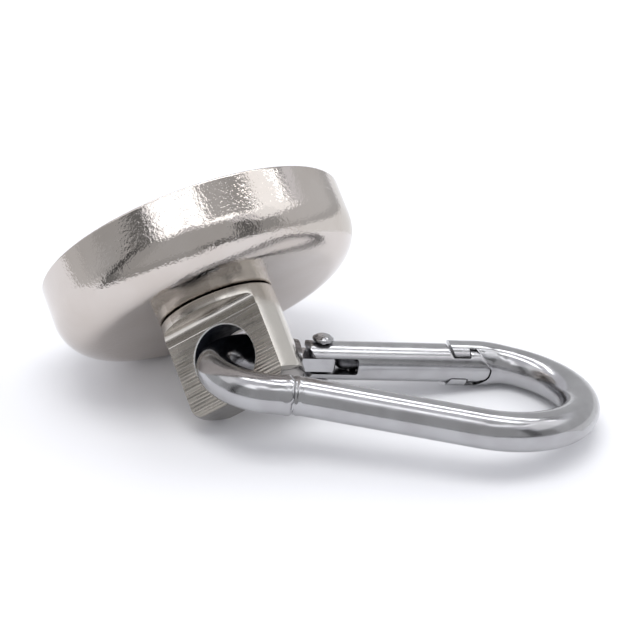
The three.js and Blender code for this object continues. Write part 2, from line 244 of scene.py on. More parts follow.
def soften_edges(thing, width, slot=-1, spared=None):
    """Rounds sharp edges, but those whose middle spared() picks out only a little.

    The rounded faces get the material of that slot, or their neighbours'.
    """
    bm = bmesh.new()
    bm.from_mesh(thing.data)
    weight = bm.edges.layers.float.new("bevel_weight_edge")
    for edge in bm.edges:
        if edge.is_manifold and edge.calc_face_angle() > SHARP_EDGE:
            middle = (edge.verts[0].co + edge.verts[1].co) / (2 * MM)
            edge[weight] = SPARED_WEIGHT if spared and spared(middle) else 1.0
    bm.to_mesh(thing.data)
    bm.free()
    modifier = thing.modifiers.new("edges", "BEVEL")
    modifier.width = width * MM
    modifier.segments = 3
    modifier.limit_method = "WEIGHT"
    modifier.material = slot
    apply_modifiers(thing)


def by_lower_lug(x, z):
    """Whether a place in the hook's frame is at the nose's lower lug, which fits the gate closely."""
    return NOSE.left - 1 < x < GATE.neck_right and z < -NOSE.lug_below


def finished(thing, place, body, replaced, materials):
    """Places a piece, shades it, gives it its materials and ties it to its body.

    The mesh itself is moved into the row's frame, so that the piece's own box fits it closely.
    """
    thing.data.transform(place)
    thing.data.shade_smooth()
    thing.data.set_sharp_from_angle(angle=SMOOTH_UP_TO)
    modifier = thing.modifiers.new("normals", "WEIGHTED_NORMAL")
    modifier.mode = "FACE_AREA"
    modifier.keep_sharp = True
    apply_modifiers(thing)
    if not thing.data.materials:
        for material in materials:
            thing.data.materials.append(material)
    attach(thing, body)
    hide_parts(replaced)


# ---- materials ------------------------------------------------------------------------------------


class Surface:
    """A material with a Principled shader, and short ways to build the nodes that feed it.

    Its patterns are laid out along the axes of the local frame that it is given.
    """

    def __init__(self, name, place, colour, roughness, metallic=1.0):
        self.material = bpy.data.materials.new(name)
        self.material.use_nodes = True
        self.tree = self.material.node_tree
        self.shader = self.tree.nodes["Principled BSDF"]
        self.shader.inputs["Base Color"].default_value = (*colour, 1)
        self.shader.inputs["Roughness"].default_value = roughness
        self.shader.inputs["Metallic"].default_value = metallic
        into_local = self.node("ShaderNodeMapping")
        into_local.inputs["Location"].default_value = place.inverted().to_translation()
        into_local.inputs["Rotation"].default_value = place.inverted().to_euler("XYZ")
        self.link(self.node("ShaderNodeTexCoord").outputs["Object"], into_local.inputs["Vector"])
        self.place = into_local.outputs["Vector"]
        self.normal = None

    def node(self, kind, **settings):
        made = self.tree.nodes.new(kind)
        for key, value in settings.items():
            setattr(made, key, value)
        return made

    def link(self, source, target):
        self.tree.links.new(source, target)

    def noise(self, size, stretch=(1, 1, 1), detail=2.0, rough=0.5):
        """Noise whose blobs are about size millimetres, longer along an axis by its stretch."""
        mapping = self.node("ShaderNodeMapping")
        mapping.inputs["Scale"].default_value = [1 / (size * MM * s) for s in stretch]
        self.link(self.place, mapping.inputs["Vector"])
        texture = self.node("ShaderNodeTexNoise")
        texture.inputs["Scale"].default_value = 1.0
        texture.inputs["Detail"].default_value = detail
        texture.inputs["Roughness"].default_value = rough
        self.link(mapping.outputs["Vector"], texture.inputs["Vector"])
        return texture.outputs["Fac"]

    def spread(self, source, low, high, start=0.35, end=0.65):
        """Maps source from start..end to low..high."""
        node = self.node("ShaderNodeMapRange", interpolation_type="SMOOTHSTEP")
        self.link(source, node.inputs["Value"])
        values = {"From Min": start, "From Max": end, "To Min": low, "To Max": high}
        for key, value in values.items():
            node.inputs[key].default_value = value
        return node.outputs["Result"]

    def times(self, a, b):
        node = self.node("ShaderNodeMath", operation="MULTIPLY")
        self.link(a, node.inputs[0])
        self.link(b, node.inputs[1])
        return node.outputs["Value"]

    def tint(self, source, dark, light):
        """Colours the surface from dark to light as source goes from 0 to 1."""
        node = self.node("ShaderNodeMix", data_type="RGBA")
        self.link(source, node.inputs["Factor"])
        colour = next(s for s in node.outputs if s.type == "RGBA")
        a, b = (s for s in node.inputs if s.type == "RGBA")
        a.default_value, b.default_value = (*dark, 1), (*light, 1)
        self.link(colour, self.shader.inputs["Base Color"])

    def roughen(self, source):
        self.link(source, self.shader.inputs["Roughness"])

    def bump(self, height, depth):
        """Adds relief of that depth in millimetres."""
        node = self.node("ShaderNodeBump")
        node.inputs["Strength"].default_value = 1.0
        node.inputs["Distance"].default_value = depth * MM
        self.link(height, node.inputs["Height"])
        if self.normal:
            self.link(self.normal, node.inputs["Normal"])
        self.normal = node.outputs["Normal"]
        self.link(self.normal, self.shader.inputs["Normal"])


def bright_nickel():
    """Mirror-bright plate over pressed steel: an orange-peel skin and long soft waves."""
    s = Surface("bright_nickel", POT_FRAME, (0.59, 0.54, 0.505), 0.07)
    s.roughen(s.spread(s.noise(3.0, detail=3), 0.03, 0.075))
    s.tint(s.spread(s.noise(9.0, detail=3), 0, 1, 0.3, 0.7), (0.57, 0.52, 0.48), (0.61, 0.565, 0.53))
    s.bump(s.noise(9.0, detail=1), 0.05)
    crinkled = s.spread(s.noise(11.0, detail=1), 0.5, 1.0, 0.4, 0.6)
    s.bump(s.times(s.noise(0.5, detail=2, rough=0.6), crinkled), 0.045)
    return s.material


def turned_nickel(name, colour):
    """Plate over turned steel, on the block's round sides and, in a darker copy that is painted shade, on
    its ends.
    """
    s = Surface(name, BLOCK_FRAME, colour, 0.2)
    s.roughen(s.spread(s.noise(2.0, detail=4), 0.16, 0.27))
    s.bump(s.noise(0.35, stretch=(14, 14, 1), detail=3), 0.004)
    return s.material


def milled_nickel():
    """Plate over a milled flat: tool marks straight across it, deeper in some bands than in others."""
    s = Surface("milled_nickel", BLOCK_FRAME, (0.48, 0.45, 0.41), 0.24)
    marks = s.noise(0.42, stretch=(40, 40, 1), detail=2, rough=0.6)
    fine = s.noise(0.2, stretch=(60, 60, 1), detail=2, rough=0.7)
    bands = s.spread(s.noise(4.6, stretch=(3, 1.3, 1), detail=1), 0.15, 1.0, 0.42, 0.58)
    s.tint(s.spread(marks, 0, 1, 0.4, 0.6), (0.455, 0.425, 0.385), (0.53, 0.495, 0.455))
    s.roughen(s.spread(s.noise(1.2, stretch=(5, 5, 1), detail=3), 0.18, 0.3))
    s.bump(s.times(marks, bands), 0.03)
    s.bump(s.times(fine, bands), 0.012)
    return s.material


def tumbled_stainless(name, place, smoothest, roughest):
    """Satin wire, with faint lines along it and a light grain from tumbling."""
    s = Surface(name, place, (0.43, 0.43, 0.44), smoothest)
    s.roughen(s.spread(s.noise(1.6, detail=4, rough=0.6), smoothest, roughest))
    s.tint(s.spread(s.noise(4.0, detail=3), 0, 1, 0.3, 0.7), (0.40, 0.395, 0.405), (0.455, 0.455, 0.465))
    s.bump(s.noise(0.5, stretch=(8, 1, 1), detail=3, rough=0.6), 0.003)
    s.bump(s.noise(0.18, detail=2), 0.0012)
    return s.material


def painted_edge_highlight():
    """Near-white, half-diffuse metal on the rounded edges: a painted highlight, so that they show as
    bright lines from all sides.
    """
    s = Surface("painted_edge_highlight", BLOCK_FRAME, (0.9, 0.89, 0.87), 0.4, metallic=0.7)
    s.roughen(s.spread(s.noise(0.5, detail=4), 0.3, 0.5))
    s.tint(s.spread(s.noise(0.6, detail=3), 0, 1, 0.35, 0.65), (0.84, 0.83, 0.80), (0.97, 0.965, 0.95))
    s.bump(s.noise(0.25, detail=3), 0.02)
    return s.material


def painted_shade_bore():
    """The wall of the cross hole, coloured near-black as painted shade for the dark inside of the hole."""
    s = Surface("painted_shade_bore", BLOCK_FRAME, (0.02, 0.022, 0.03), 0.5, metallic=0.0)
    s.shader.inputs["Specular IOR Level"].default_value = 0.06
    s.roughen(s.spread(s.noise(0.8, detail=4), 0.3, 0.5))
    s.tint(s.spread(s.noise(1.4, detail=4), 0, 1, 0.3, 0.7), (0.010, 0.012, 0.018), (0.026, 0.029, 0.038))
    s.bump(s.noise(0.3, stretch=(1, 10, 10), detail=3), 0.006)
    return s.material


# the plunger's steel is coloured near-black: painted shade for its place deep in the gate's slot
def shaded_plunger_steel():
    s = Surface("shaded_plunger_steel", GATE_FRAME, (0.14, 0.14, 0.145), 0.35)
    s.tint(s.spread(s.noise(0.9, detail=4), 0, 1, 0.3, 0.7), (0.09, 0.09, 0.096), (0.19, 0.19, 0.2))
    s.bump(s.noise(0.2, detail=2), 0.002)
    return s.material


def plain_nickel():
    s = Surface("plain_nickel", POT_FRAME, (0.42, 0.42, 0.43), 0.4)
    s.roughen(s.spread(s.noise(1.8, detail=5, rough=0.65), 0.36, 0.46))
    s.tint(s.spread(s.noise(5.0, detail=4), 0, 1, 0.3, 0.7), (0.39, 0.39, 0.40), (0.44, 0.44, 0.45))
    s.bump(s.noise(0.22, detail=3), 0.003)
    return s.material


def potting_resin():
    s = Surface("potting_resin", POT_FRAME, (0.03, 0.032, 0.036), 0.42, metallic=0.0)
    s.roughen(s.spread(s.noise(1.2, detail=4), 0.3, 0.55))
    s.tint(s.spread(s.noise(2.5, detail=4), 0, 1, 0.3, 0.7), (0.022, 0.024, 0.028), (0.045, 0.047, 0.052))
    s.bump(s.noise(1.5, detail=3), 0.02)
    return s.material


def plain_bronze():
    s = Surface("plain_bronze", POT_FRAME, (0.58, 0.40, 0.20), 0.35)
    s.tint(s.spread(s.noise(1.5, detail=4), 0, 1, 0.3, 0.7), (0.50, 0.33, 0.15), (0.62, 0.44, 0.23))
    s.bump(s.noise(0.2, detail=3), 0.003)
    return s.material


def dark_spring_steel():
    s = Surface("dark_spring_steel", POT_FRAME, (0.36, 0.36, 0.38), 0.32)
    s.tint(s.spread(s.noise(1.0, detail=4), 0, 1, 0.3, 0.7), (0.30, 0.30, 0.32), (0.42, 0.42, 0.44))
    s.bump(s.noise(0.15, detail=2), 0.002)
    return s.material


# ---- the pot and what it holds --------------------------------------------------------------------


def make_cup(material):
    p = POT
    profile = rounded([
        (p.cavity_radius, 0, 0.25),
        (p.radius, 0, p.rim_round),
        (p.radius, p.height, p.back_round),
        (p.bore_radius, p.height, p.bore_round),
        (p.bore_radius, p.well_depth, 0.1),
        (p.well_radius, p.well_depth, 0.3),
        (p.well_radius, p.cavity_depth, 0.2),
        (p.cavity_radius, p.cavity_depth, 0.3),
    ], steps=14)
    thing = as_object("pressed_cup", turned(profile, sides=256))
    finished(thing, POT_FRAME, "pot", "cup", [material])


def make_disc(material):
    d = DISC
    top = POT.cavity_depth - GAP
    profile = rounded([(0, 0, 0), (d.radius, 0, d.chamfer), (d.radius, top, 0.2), (0, top, 0)],
                      closed=False)
    thing = as_object("magnet", turned(profile))
    finished(thing, POT_FRAME, "pot", "magnet_disc", [material])


def make_resin(material):
    """The resin's free surface sags between the magnet and the pot's wall."""
    r = RESIN
    middle = (r.inner + r.outer) / 2
    top = POT.cavity_depth - GAP
    step, fall = 0.3, 0.7 * r.sag
    profile = [(r.inner, r.recess), (r.inner + step, r.recess + fall), (middle, r.recess + r.sag),
               (r.outer - step, r.recess + fall), (r.outer, r.recess), (r.outer, top), (r.inner, top)]
    thing = as_object("resin_ring", turned(profile))
    finished(thing, POT_FRAME, "pot", "potting_ring", [material])


def washer(inner, outer, low, high):
    edge = 0.1
    corners = [(inner, low, edge), (outer, low, edge), (outer, high, edge), (inner, high, edge)]
    return turned(rounded(corners, steps=3), sides=96)


GROOVE_MIDDLE = POT.height + GAP - (BLOCK.groove_from + BLOCK.groove_to) / 2


def make_washers(material):
    w = WASHER
    low = POT.height + (GAP + w.recess - w.thickness) / 2
    thing = as_object("thrust_ring", washer(w.inner, w.outer, low, low + w.thickness))
    finished(thing, POT_FRAME, "pot", "thrust_washer", [material])
    w = INNER_WASHER
    low = (GROOVE_MIDDLE + CLIP.thickness / 2 + POT.well_depth - w.thickness) / 2
    thing = as_object("inner_ring", washer(w.inner, w.outer, low, low + w.thickness))
    finished(thing, POT_FRAME, "pot", "inner_washer", [material])


def make_clip(material):
    c = CLIP
    half = c.opening / 2
    outline = (arc(0, 0, c.outer, half, 2 * math.pi - half, 60)
               + arc(0, 0, c.inner, 2 * math.pi - half, half, 60))
    bm = moved(prism(outline, c.thickness / 2), Matrix.Translation((0, 0, GROOVE_MIDDLE * MM)))
    thing = as_object("clip", bm)
    soften_edges(thing, 0.06)
    finished(thing, POT_FRAME, "block", "retaining_clip", [material])


# ---- the eye block --------------------------------------------------------------------------------


def tool_mark(height):
    """How deep the mill has marked the flat at a height, in millimetres, more so away from the base."""
    pitch = 0.5
    shallow, deeper, uneven = 0.006, 0.018, 0.005
    wander = 0.9 * math.sin(1.7 * height) + 0.5 * math.sin(3.9 * height + 1)
    deepening = min(1, max(0, (height - 4) / 5))
    depth = shallow + deeper * deepening + uneven * math.sin(5.3 * height)
    return depth * (1 - math.cos(2 * math.pi * height / pitch + wander))


def flat_cutter(side):
    """What is milled away on one side, with the cutter's last step at the foot of the fillet."""
    b = BLOCK
    flat = b.thickness / 2
    outside = b.radius + 1
    step = 0.08
    step_height = b.flange + b.fillet + 0.75
    top = b.length + 1
    marks = 190
    heights = [top + (step_height + 0.1 - top) * i / marks for i in range(marks + 1)]
    outline = [(outside, b.flange), (outside, top), *((flat - tool_mark(z), z) for z in heights),
               (flat + step, step_height)]
    outline += arc(flat + step + b.fillet, b.flange + b.fillet, b.fillet, math.pi, 1.5 * math.pi, 10)
    return prism([(side * x, z) for x, z in outline], outside, axis="y")


def make_block(materials):
    b = BLOCK
    thing = as_object("eye_block", turned(rounded([
        (0, -b.spigot_length, 0),
        (b.spigot_radius, -b.spigot_length, 0.3),
        (b.spigot_radius, -b.groove_to, 0),
        (b.groove_radius, -b.groove_to, 0),
        (b.groove_radius, -b.groove_from, 0),
        (b.spigot_radius, -b.groove_from, 0),
        (b.spigot_radius, WASHER.recess, 0),
        (WASHER.outer + GAP, WASHER.recess, 0),
        (WASHER.outer + GAP, -b.base_drop, 0.1),
        (b.radius, -b.base_drop, b.base_round),
        (b.radius, b.length, b.end_round),
        (0, b.length, 0),
    ], closed=False, steps=8), sides=192))
    half = b.thickness / 2
    outside = b.radius + 1
    wide = b.hole_radius + b.hole_chamfer
    hole = turned([(0, -outside), (wide, -outside), (wide, -half), (b.hole_radius, b.hole_chamfer - half),
                   (b.hole_radius, half - b.hole_chamfer), (wide, half), (wide, outside), (0, outside)],
                  sides=128, axis="x")
    moved(hole, Matrix.Translation((0, 0, b.hole_height * MM)))
    combined(thing, "DIFFERENCE", flat_cutter(1), flat_cutter(-1), hole)
    sides, flats, bore, edges, ends = range(5)
    for material in materials:
        thing.data.materials.append(material)
    for face in thing.data.polygons:
        y, z = face.center.yz
        from_hole = math.hypot(y, z - b.hole_height * MM)
        if from_hole < (b.hole_radius + 0.05) * MM and abs(face.normal.x) < 0.5:
            # the hole's wall is coloured near-black: painted shade for the dark inside of the hole
            face.material_index = bore
        elif from_hole < (b.hole_radius + b.hole_chamfer) * MM and abs(face.normal.x) < 0.9:
            # the hole's chamfer gets the near-white painted edge highlight
            face.material_index = edges
        elif abs(face.normal.x) > 0.9:
            face.material_index = flats
        elif z > (b.length - 0.9 * b.end_round) * MM:
            # the rounded end gets a darker copy of the plate: painted shade for the shaded floor it
            # reflects
            face.material_index = ends
        else:
            face.material_index = sides
    # the rounded faces get the slot of the near-white painted edge highlight
    soften_edges(thing, b.edge, slot=edges)
    finished(thing, BLOCK_FRAME, "block", "swivel_block", materials)


# ---- the snap hook --------------------------------------------------------------------------------


def bezier(a, b, c, d, steps):
    def point(t):
        s = 1 - t
        return a * s ** 3 + 3 * b * s * s * t + 3 * c * s * t * t + d * t ** 3

    return [point(i / steps) for i in range(steps + 1)]


def wire_path():
    """The wire's middle as closely spaced points: tang, eye, pinch, spine, wide end and nose."""
    h = HOOK
    eye = Vector((h.eye_x, h.eye_y))
    to_shoulder = Vector((h.shoulder_x, h.shoulder_y)) - eye
    eye_start = math.atan2(to_shoulder.y, to_shoulder.x) + math.acos(h.eye_radius / to_shoulder.length)
    eye_end = 1.5 * math.pi + math.asin((h.kink_x - h.eye_x) / h.eye_radius)
    heading = Vector((math.sin(eye_start), -math.cos(eye_start)))
    overrun = 2
    first = Vector((h.shoulder_x, h.shoulder_y)) + overrun * heading

    end_x = h.nose_arc_x + (h.nose_arc_radius - h.end_radius) * math.sin(h.nose_arc_angle)
    end_y = (GATE.y - h.nose_arc_radius
             + (h.nose_arc_radius - h.end_radius) * math.cos(h.nose_arc_angle))
    kink = eye + h.eye_radius * Vector((math.cos(eye_end), math.sin(eye_end)))
    to_end = Vector((end_x, end_y)) - kink
    slope = math.atan2(to_end.y, to_end.x) - math.asin(h.end_radius / to_end.length)
    along_spine = Vector((math.cos(slope), math.sin(slope)))

    # the pinch: the eye's arc and the spine are joined by a short bend
    bend = PINCH.bend
    before = eye_end - bend / h.eye_radius
    bend_start = eye + h.eye_radius * Vector((math.cos(before), math.sin(before)))
    arriving = Vector((-math.sin(before), math.cos(before)))
    bend_end = kink + bend * along_spine
    handle = 0.62 * bend
    pinch = bezier(bend_start, bend_start + handle * arriving,
                   bend_end - handle * along_spine, bend_end, 14)

    half = math.pi / 2
    turn = half - h.nose_arc_angle
    nose_y = GATE.y - h.nose_arc_radius
    pieces = [
        [first],
        [Vector(p) for p in arc(*eye, h.eye_radius, eye_start, before, 90)],
        pinch[1:-1],
        [bend_end + along_spine * step for step in (0, 0.7, 1.5, 3)],
        [Vector(p) for p in arc(end_x, end_y, h.end_radius, slope - half, turn, 120)],
        [Vector(p) for p in arc(h.nose_arc_x, nose_y, h.nose_arc_radius, turn, half, 24)],
        [Vector((x, GATE.y)) for x in (36, NOSE.taper_x, NOSE.left - 1)],
    ]
    return [point for piece in pieces for point in piece], kink


def wire_height(point):
    """Half the wire's height at a point of its middle, in millimetres. It grows smoothly to the nose."""
    if point.y < 0 or not NOSE.left - 2 < point.x < NOSE.right:
        return HOOK.wire
    run = min(1, (NOSE.right - point.x) / (NOSE.right - NOSE.taper_x))
    return HOOK.wire + (NOSE.half_height - HOOK.wire) * run * run * (3 - 2 * run)


def pinched(angle, offset):
    """How far the wire's skin moves out, in millimetres: a pressed crease with a swelling before it.

    The angle is round the wire, from the loop's inside at 0, and offset is along it from the pinch.
    """
    p = PINCH
    outside = 0.5 - 0.5 * math.cos(angle)
    uneven = 0.18 * math.sin(3 * angle + 0.7) + 0.1 * math.sin(7 * angle)
    place = offset - uneven
    lip = math.exp(-((place + p.lip_before) / p.lip_width) ** 2)
    crease = math.exp(-(place / p.crease_width) ** 2)
    ring = math.exp(-((place - p.ring_after) / p.ring_width) ** 2)
    past_crease = min(1, max(0, place + p.crease_width) / (2 * p.crease_width))
    thinner = math.exp(-max(0, place) / p.thin_length) * past_crease
    return (p.lip * lip * (0.5 + 0.5 * outside) + p.ring * ring
            - (p.crease + p.crease_outside * outside) * crease - p.thinning * outside * thinner)


def make_wire():
    """Sweeps the section along the path. Each ring stands square to the path."""
    path, kink = wire_path()
    sides = 56
    rings = [[(path[0].x, path[0].y, 0)]]
    for i, point in enumerate(path):
        heading = (path[min(i + 1, len(path) - 1)] - path[max(i - 1, 0)]).normalized()
        left = Vector((-heading.y, heading.x))
        height = wire_height(point)
        near_kink = point.y < 0 and point.x < PINCH.until_x
        offset = (point - kink).dot(heading) if near_kink else math.inf
        ring = []
        for k in range(sides):
            angle = 2 * math.pi * k / sides
            skin = pinched(angle, offset) if offset < PINCH.reach else 0
            across = left * (HOOK.wire + skin) * math.cos(angle)
            ring.append((point.x + across.x, point.y + across.y, (height + skin) * math.sin(angle)))
        rings.append(ring)
    rings.append([(path[-1].x, path[-1].y, 0)])
    return from_rings(rings, closed=False)


def head_outline(grow):
    """The gate's keyed head from the side, in the hook's frame, from its lower to its upper shoulder."""
    high = 2.75 + grow
    corners = [
        (GATE.neck_right - grow, -high, 0),
        (35.0 + 0.6 * grow, -high, 0.9),
        (36.55 + grow, -1.5 - 0.3 * grow, 1.5),
        (36.75 + grow, 0.1, 1.2),
        (34.75 + 0.6 * grow, high, 0.5),
        (GATE.neck_right - grow, high, 0),
    ]
    return [(x, z, 0) for x, z in rounded(corners, closed=False, steps=8)]


def key_room():
    """What the nose leaves free round the gate's keyed end. The lower lug fits the gate closely."""
    low = GATE.neck_half + GAP
    lug_right = GATE.neck_right - GAP
    beyond = NOSE.half_height + 1
    corner = 0.28
    lower_top = -(GATE.neck_half + LUG_GAP)
    upper = [
        (lug_right, low, corner),
        (NOSE.lug_left, low, corner),
        (NOSE.left, NOSE.half_height, 0),
        (NOSE.left, beyond, 0),
        (NOSE.left - 3, beyond, 0),
    ]
    lower = [
        (NOSE.left - 3, -beyond, 0),
        (NOSE.left, -beyond, 0),
        (NOSE.left - GAP + LUG_GAP, -NOSE.half_height, 0),
        (GATE.neck_left + LUG_GAP, lower_top, corner),
        (lug_right, lower_top, corner),
    ]
    outline = rounded(head_outline(GAP) + upper + lower, steps=5)
    return moved(prism(outline, beyond, axis="y"), Matrix.Translation((0, GATE.y * MM, 0)))


def make_hook(material):
    thing = as_object("hook_wire", make_wire())
    h, t = HOOK, TANG
    tall = 2 * h.wire
    cut_end = h.end_x + 8
    past_shoulder = prism([
        (h.end_x, -tall),
        (cut_end, -tall),
        (cut_end, tall),
        (h.end_x, tall),
    ], h.wire + 1, axis="y")
    moved(past_shoulder, Matrix.Translation((0, GATE.y * MM, 0)))
    combined(thing, "DIFFERENCE", past_shoulder, key_room())
    right = GATE.pivot_x + t.reach
    seen_along_pin = rounded([
        (t.root, GATE.y - t.half_width, 0),
        (right, GATE.y - t.half_width, t.corner),
        (right, GATE.y + t.half_width, t.corner),
        (t.root, GATE.y + t.half_width, 0),
    ])
    chamfer = 0.4
    seen_along_gate = [
        (t.root, -t.half_thickness),
        (right - chamfer, -t.half_thickness),
        (right, chamfer - t.half_thickness),
        (right, t.half_thickness - chamfer),
        (right - chamfer, t.half_thickness),
        (t.root, t.half_thickness),
    ]
    plate = as_object("plate", prism(seen_along_pin, t.half_thickness))
    side_view = moved(prism(seen_along_gate, GATE.y, axis="y"), Matrix.Translation((0, GATE.y * MM, 0)))
    combined(plate, "INTERSECT", side_view)
    plate_mesh = bmesh.new()
    plate_mesh.from_mesh(plate.data)
    bpy.data.objects.remove(plate)
    combined(thing, "UNION", plate_mesh)
    through = 9
    pin = turned([(0, -through), (RIVET.hole, -through), (RIVET.hole, through), (0, through)], sides=48)
    moved(pin, Matrix.Translation(Vector((GATE.pivot_x, GATE.y, 0)) * MM))
    combined(thing, "DIFFERENCE", pin)
    soften_edges(thing, GATE.edge, spared=lambda p: by_lower_lug(p.x, p.z))
    finished(thing, HOOK_FRAME, "hook", "hook_body", [material])


def make_gate(material):
    g = GATE
    beyond = g.radius + 1
    along = range(-5, 28)
    tube = turned([(0, along[0]), *((g.radius, x) for x in along), (0, along[-1])], sides=96, axis="x")
    thing = as_object("gate_tube", tube)

    # seen from the side: keyed at the nose
    left_end = -2.5
    skin = g.radius + 0.02
    left, right = g.neck_left - g.pivot_x, g.neck_right - g.pivot_x
    corner = 0.25
    upper = [
        (right, g.neck_half, corner),
        (left, g.neck_half, corner),
        (left - g.neck_slope, g.radius, 0),
        (left - g.neck_slope, beyond, 0),
        (1, beyond, 0),
        (0, skin, 0),
        (left_end, skin, 1.0),
    ]
    lower = [(x, -z, r) for x, z, r in reversed(upper)]
    head = [(x - g.pivot_x, z, r) for x, z, r in head_outline(0)]
    keyed = prism(rounded(head + upper + lower, steps=5), beyond, axis="y")

    # seen from above: well rounded corners at the rivet
    side = g.radius + 0.05
    corner_round = 2.3
    past_head = 30
    round_end = prism(rounded([
        (left_end, side, corner_round),
        (left_end, -side, corner_round),
        (past_head, -side, 0),
        (past_head, side, 0),
    ], steps=16), beyond)
    combined(thing, "INTERSECT", keyed, round_end)

    slot_end = g.slot_end - g.pivot_x
    mouth = 0.6
    flare = [
        (left_end + mouth, g.slot_half, mouth),
        (left_end, g.slot_half + mouth, 0),
        (left_end - 1, g.slot_half + mouth, 0),
    ]
    slot = prism(rounded([
        (slot_end, -g.slot_half, 0.35),
        (slot_end, g.slot_half, 0.35),
        *flare,
        *((x, -z, r) for x, z, r in reversed(flare)),
    ], steps=5), beyond, axis="y")
    bore_start, bore_end = slot_end - 1, g.bore_end - g.pivot_x
    bore = turned([(0, bore_start), (g.bore_radius, bore_start), (g.bore_radius, bore_end), (0, bore_end)],
                  sides=48, axis="x")
    pin = turned([(0, -beyond), (RIVET.hole, -beyond), (RIVET.hole, beyond), (0, beyond)], sides=48)
    combined(thing, "DIFFERENCE", slot, bore, pin)
    soften_edges(thing, g.edge, spared=lambda p: by_lower_lug(p.x + g.pivot_x, p.z))
    finished(thing, GATE_FRAME, "gate_arm", "gate", [material])


def make_rivet(material):
    """Two formed heads, each with a low dome, a rolled rim and a flat set on its top."""
    r = RIVET
    under = GATE.radius + r.head_gap
    top = under + r.head_height
    dish, rim = 0.12, 0.42
    flat_radius = 0.62 * r.head_radius
    upper = [(r.radius, under, 0), (r.head_radius, under + dish, 0.16), (r.head_radius, top - rim, 0.3),
             (flat_radius, top, 0.25), (0, top, 0)]
    half = rounded(upper, closed=False, steps=6)
    profile = [(x, -z) for x, z in reversed(half)] + half
    thing = as_object("rivet", turned(profile, sides=72))
    finished(thing, GATE_FRAME, "hook", "gate_rivet", [material])


def make_plunger(material):
    p = PLUNGER
    tip, collar = p.tip_x - GATE.pivot_x, p.collar_x - GATE.pivot_x
    dome = [(radius, x) for x, radius in arc(tip + p.radius, 0, p.radius, math.pi, math.pi / 2, 12)]
    dome[0] = (0, tip)
    back = collar + p.collar_length
    profile = dome + [(p.radius, collar), (p.collar_radius, collar), (p.collar_radius, back), (0, back)]
    flattened = moved(turned(profile, sides=64, axis="x"), Matrix.Diagonal((1, p.depth_scale, 1, 1)))
    thing = as_object("plunger", flattened)
    finished(thing, GATE_FRAME, "plunger", "gate_plunger", [material])


def make_spring(material):
    s = SPRING
    steps, sides = 48 * s.turns, 12
    rings = []
    for i in range(steps + 1):
        t = i / steps
        angle = 2 * math.pi * s.turns * t
        out = Vector((0, math.cos(angle), math.sin(angle)))
        centre = Vector((s.start + (s.end - s.start) * t - GATE.pivot_x, 0, 0)) + s.radius * out
        ring = [centre + s.wire * (math.cos(a) * out + math.sin(a) * Vector((1, 0, 0)))
                for a in (2 * math.pi * k / sides for k in range(sides))]
        rings.append(ring)
    middle = [sum(ring, Vector()) / sides for ring in (rings[0], rings[-1])]
    thing = as_object("coil", from_rings([[middle[0]], *rings, [middle[1]]], closed=False))
    finished(thing, GATE_FRAME, "gate_arm", "gate_spring", [material])


# ---- studio ---------------------------------------------------------------------------------------


def direction(azimuth, elevation):
    """A unit vector. Azimuth 0 is in front of the object, at -Y, and 90 is at +X."""
    a, e = math.radians(azimuth), math.radians(elevation)
    return Vector((math.sin(a) * math.cos(e), -math.cos(a) * math.cos(e), math.sin(e)))


def make_camera():
    """The camera stands in front and a little to the left, and looks down at the object."""
    c = CAMERA
    low, high = cad_box
    target = (low + high) / 2 + Vector(c.aim) * MM
    camera = bpy.data.objects.new("camera", bpy.data.cameras.new("camera"))
    camera.data.sensor_width = c.sensor
    camera.data.lens = c.lens
    camera.data.clip_start = c.clip_start
    back = direction(c.azimuth, c.elevation)
    turn = back.to_track_quat("Z", "Y").to_matrix() @ Matrix.Rotation(math.radians(c.roll), 3, "Z")
    camera.matrix_world = Matrix.Translation(target + back * c.distance) @ turn.to_4x4()
    bpy.context.scene.collection.objects.link(camera)
    bpy.context.scene.camera = camera


def glow(name, strength):
    material = bpy.data.materials.new(name)
    material.use_nodes = True
    nodes = material.node_tree.nodes
    nodes.clear()
    emission = nodes.new("ShaderNodeEmission")
    emission.inputs["Color"].default_value = STUDIO_WHITE
    emission.inputs["Strength"].default_value = strength
    output = nodes.new("ShaderNodeOutputMaterial")
    material.node_tree.links.new(emission.outputs["Emission"], output.inputs["Surface"])
    return material


def reflected_only(card, strength):
    """Makes a mesh glow, and lets only reflections see it."""
    card.data.materials.append(glow(card.name, strength))
    card.visible_camera = card.visible_diffuse = card.visible_shadow = False


def make_card(name, azimuths, elevations, strength, distance=0.9):
    """A card bent round the object between two azimuths and two elevations."""
    steps = 16
    bm = bmesh.new()
    rows = [[bm.verts.new(direction(azimuths[0] + (azimuths[1] - azimuths[0]) * i / steps, e) * distance)
             for i in range(steps + 1)]
            for e in (elevations[0] + (elevations[1] - elevations[0]) * j / 4 for j in range(5))]
    for a, b in zip(rows, rows[1:]):
        for k in range(steps):
            bm.faces.new((a[k], a[k + 1], b[k + 1], b[k]))
    reflected_only(as_object(name, bm), strength)


def make_light(name, azimuth, elevation, distance, size, power):
    """A soft light that doesn't show in the metal, which reflects the cards instead."""
    data = bpy.data.lights.new(name, "AREA")
    data.shape = "RECTANGLE"
    data.size, data.size_y = size
    data.energy = power
    light = bpy.data.objects.new(name, data)
    back = direction(azimuth, elevation)
    light.location = back * distance
    light.rotation_mode = "QUATERNION"
    light.rotation_quaternion = back.to_track_quat("Z", "Y")
    light.visible_camera = light.visible_glossy = False
    bpy.context.scene.collection.objects.link(light)


